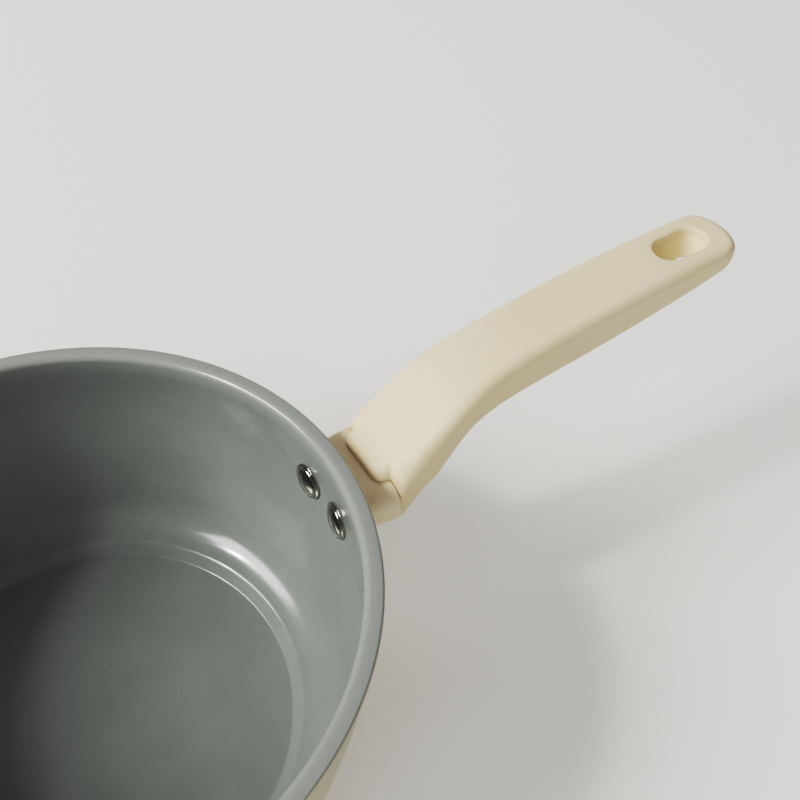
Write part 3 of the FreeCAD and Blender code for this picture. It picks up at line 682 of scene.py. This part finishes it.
def grip_distance(places):
    """The grip: shell, tongue over the bracket, hanging slot, tenon socket and screw well."""
    x, y, z = places.T
    end = np.hypot(np.maximum(x - (TIP - TIP_ARC), 0), y) - TIP_ARC
    plan = round_and(np.abs(y) - half_width(x), end, TIP_CORNER)
    above = (z - grip_top(x)) * slope_cosine(grip_top, x)
    below = (grip_low(x) - z) * slope_cosine(grip_low, x)
    shell = round_and(round_and(plan, above, top_round(x)), below, low_round(x))
    shell = round_and(shell, JOINT + JOINT_GAP - x, np.interp(z, FRONT_ROUND_HEIGHTS, FRONT_ROUNDS))

    tongue_middle = (TONGUE_FRONT + TONGUE_ROOT) / 2
    tongue_half_length = (TONGUE_ROOT - TONGUE_FRONT) / 2
    tongue = flat_box(x - tongue_middle, y, tongue_half_length, TONGUE_HALF, TONGUE_CORNER)
    tongue = round_and(tongue, above + TONGUE_SINK, TONGUE_TOP_ROUND)
    tongue = round_and(tongue, BRACKET_TOP + TONGUE_GAP - z, TONGUE_UNDER_ROUND)
    body = round_or(shell, tongue, np.interp(above, FILLET_DEPTHS, FILLET_RADII))
    body = round_and(body, -slot_distance(x, y, z), SLOT_EDGE_ROUND)

    along, across = tenon_axes(x, z)
    socket = flat_box(across, y, TENON_HALF_HEIGHT + SOCKET_GAP, TENON_HALF_WIDTH + SOCKET_GAP)
    socket = np.maximum(socket, np.abs(along - 8.0) - 23.25)
    body = round_and(body, -socket, SOCKET_EDGE_ROUND)
    off_axis = np.hypot(along - SCREW_REACH, y)
    well = np.maximum(off_axis - WELL_RADIUS, across + SCREW_SEAT)
    hole = np.maximum(off_axis - SCREW_HOLE_RADIUS, across)
    return round_and(body, -np.minimum(well, hole), WELL_EDGE_ROUND)


# ---------------------------------------------------------------- bracket

FLANGE_OUTER = 105.4
FLANGE_LOW = 54.9
FLANGE_TOP = 74.0
FLANGE_CORNER = 3.0
FLANGE_ROUND = 0.6
ARM_LOW = 60.9
ARM_HALF_AT_WALL = 18.6
ARM_HALF_AT_JOINT = 19.6
ARM_ROUND = 6.5
ARM_END_ROUND = 0.35
ARM_SHELL = 2.6
HOLLOW_ROUND = 2.4
HOLLOW_END_ROUND = 0.8
HOLLOW_EDGE_ROUND = 0.6
WALL_GAP = 0.05
WALL_HEIGHTS = np.linspace(40.0, 85.0, 60)
OUTER_WALL = inner_wall(WALL_HEIGHTS) + WALL


def bracket_distance(places):
    """The bracket: hollow arm, riveted flange against the wall, slanted tenon with a screw hole."""
    x, y, z = places.T
    spread = np.clip((x - FLANGE_OUTER) / (JOINT - FLANGE_OUTER), 0, 1)
    side = np.abs(y) - ARM_HALF_AT_WALL - (ARM_HALF_AT_JOINT - ARM_HALF_AT_WALL) * spread
    arm = round_and(round_and(side, z - BRACKET_TOP, ARM_ROUND), ARM_LOW - z, ARM_ROUND)
    arm = round_and(arm, x - JOINT, ARM_END_ROUND)
    hollow = round_and(side + ARM_SHELL, z - BRACKET_TOP + ARM_SHELL, HOLLOW_ROUND)
    hollow_ends = np.maximum(FLANGE_OUTER - x, x - JOINT + ARM_SHELL)
    hollow = round_and(hollow, hollow_ends, HOLLOW_END_ROUND)
    arm = round_and(arm, -hollow, HOLLOW_EDGE_ROUND)

    flange_middle = (FLANGE_LOW + FLANGE_TOP) / 2
    flange_half = (FLANGE_TOP - FLANGE_LOW) / 2
    flange = flat_box(y, z - flange_middle, ARM_HALF_AT_WALL, flange_half, FLANGE_CORNER)
    flange = round_and(flange, x - FLANGE_OUTER, FLANGE_ROUND)
    body = round_or(arm, flange, 0.8)

    along, across = tenon_axes(x, z)
    tenon = flat_box(across, y, TENON_HALF_HEIGHT, TENON_HALF_WIDTH, 0.6)
    tenon = np.maximum(tenon, np.abs(along - 13.5) - 17.5)
    body = round_or(body, tenon, 0.4)
    screw = np.hypot(along - SCREW_REACH, y) - SCREW_RADIUS
    body = np.maximum(body, -screw)
    wall = np.interp(z, WALL_HEIGHTS, OUTER_WALL) + WALL_GAP - np.hypot(x, y)
    return round_and(body, wall, 0.3)


build_pan()
build_base_plate()
build_rivet("rivet_left", 1)
build_rivet("rivet_right", -1)
add_skin("grip", "handle_grip", "grip_resin", GRIP_RESIN, grip_distance, 0.7)
add_skin("bracket", "handle_bracket", "bracket_paint", BRACKET_PAINT, bracket_distance, 0.6)
dress("handle_screw", BRUSHED_STEEL)
dress("screw_lock_washer", BRUSHED_STEEL)


# ---------------------------------------------------------------- stage


FLOOR_HALF_SIZE = 6.0
FLOOR_DROP = 0.02 * MM


def add_floor():
    """Large pale floor just under the pan, with a faint glow that stands for the room's light."""
    shape = bmesh.new()
    bmesh.ops.create_grid(shape, x_segments=4, y_segments=4, size=FLOOR_HALF_SIZE)
    mesh = finished_mesh("floor", shape)
    floor = bpy.data.objects.new("floor", mesh)
    floor.location.z = -FLOOR_DROP
    bpy.context.scene.collection.objects.link(floor)
    n = Nodes("floor_paper")
    colour = n.blend(n.noise(0.4, 2.0), srgb(222, 222, 221), srgb(225, 225, 224))
    mesh.materials.append(n.surface(
        Base_Color=colour,
        Roughness=0.75,
        Specular_IOR_Level=0.2,
        Emission_Color=srgb(237, 232, 221),
        Emission_Strength=0.24,
    ))


# The camera stands on the pan's near side and looks down on it, without roll.  Its distances
# are metres to the right of the pan's axis, back from it, and up from 1 mm under the lip's top.
CAMERA_TURN = math.radians(31.8)
CAMERA_DOWN = math.radians(47.308)
CAMERA_RIGHT = 0.11045
CAMERA_BACK = 0.17006
CAMERA_RISE = 0.27052
SENSOR = 36.0
FOCAL_SHARE = 1.31182


def add_camera():
    """Camera at the photograph's viewing angle."""
    data = bpy.data.cameras.new("camera")
    data.sensor_width = SENSOR
    data.lens = SENSOR * FOCAL_SHARE
    data.clip_start = 0.01
    data.clip_end = 50.0
    camera = bpy.data.objects.new("camera", data)
    turn = Matrix.Rotation(-CAMERA_TURN, 4, "Z")
    camera.location = turn @ Vector((CAMERA_RIGHT, -CAMERA_BACK, RIM_TOP - MM + CAMERA_RISE))
    camera.rotation_euler = (math.pi / 2 - CAMERA_DOWN, 0.0, -CAMERA_TURN)
    bpy.context.scene.collection.objects.link(camera)
    bpy.context.scene.camera = camera


def seen_from_camera(right, forward, up):
    """Point from its distances right of and beyond the pan's axis as the camera faces, and its height."""
    return Matrix.Rotation(-CAMERA_TURN, 3, "Z") @ Vector((right, forward, up))


LIGHT_TARGET = Vector((0.0, 0.0, 0.05))
WHITE = (1.0, 1.0, 1.0)
WARM = (1.0, 0.985, 0.965)


def add_area_light(name, place, size, power, mirrored=True, tint=WHITE):
    """Soft box facing the pan; one that isn't mirrored is left out of reflections."""
    data = bpy.data.lights.new(name, "AREA")
    data.shape = "RECTANGLE"
    data.size, data.size_y = size
    data.energy = power
    data.color = tint
    light = bpy.data.objects.new(name, data)
    light.location = place
    light.rotation_euler = (LIGHT_TARGET - place).to_track_quat("-Z", "Y").to_euler()
    light.visible_glossy = mirrored
    bpy.context.scene.collection.objects.link(light)


def sky_place(turn, rise, distance):
    """Place at a bearing (right of the camera's facing) and a height angle, round the pan."""
    turn, rise = math.radians(turn), math.radians(rise)
    level = distance * math.cos(rise)
    return seen_from_camera(level * math.sin(turn), level * math.cos(turn), distance * math.sin(rise))


def add_lights():
    """Warm key light from the left with a brighter centre, three weak fills, dim room."""
    add_area_light("key", sky_place(-105, 37, 4.5), (2.4, 1.6), 168.0, tint=WARM)
    add_area_light("key_centre", sky_place(-106, 47, 4.5), (0.36, 0.45), 50.0, tint=WARM)
    add_area_light("front_fill", sky_place(-160, 36, 2.8), (2.2, 1.8), 19.0, False)
    add_area_light("back_fill", sky_place(-10, 45, 2.8), (2.2, 2.0), 15.0, False)
    add_area_light("side_fill", sky_place(125, 24, 2.8), (2.2, 1.2), 5.0, False)
    world = bpy.data.worlds.new("studio")
    world.use_nodes = True
    background = world.node_tree.nodes["Background"]
    background.inputs["Color"].default_value = srgb(214, 216, 220)
    background.inputs["Strength"].default_value = 0.13
    bpy.context.scene.world = world


# Linear light in the scene, and linear brightness in the picture.
TONE_CURVE = (
    (0.0, 0.0),
    (0.05, 0.031),
    (0.13, 0.097),
    (0.25, 0.27),
    (0.35, 0.39),
    (0.5, 0.51),
    (0.7, 0.615),
    (1.0, 0.715),
    (1.5, 0.83),
    (2.5, 1.0),
)


def set_tone_curve():
    """Picture contrast of a studio photograph: deep darks, lifted middle, soft highlights."""
    view = bpy.context.scene.view_settings
    view.view_transform = "Standard"
    view.use_curve_mapping = True
    brightest = TONE_CURVE[-1][0]
    view.curve_mapping.white_level = (brightest,) * 3
    points = view.curve_mapping.curves[3].points
    for light, shown in TONE_CURVE[1:-1]:
        points.new(light / brightest, shown)
    view.curve_mapping.update()


add_floor()
add_camera()
add_lights()
set_tone_curve()
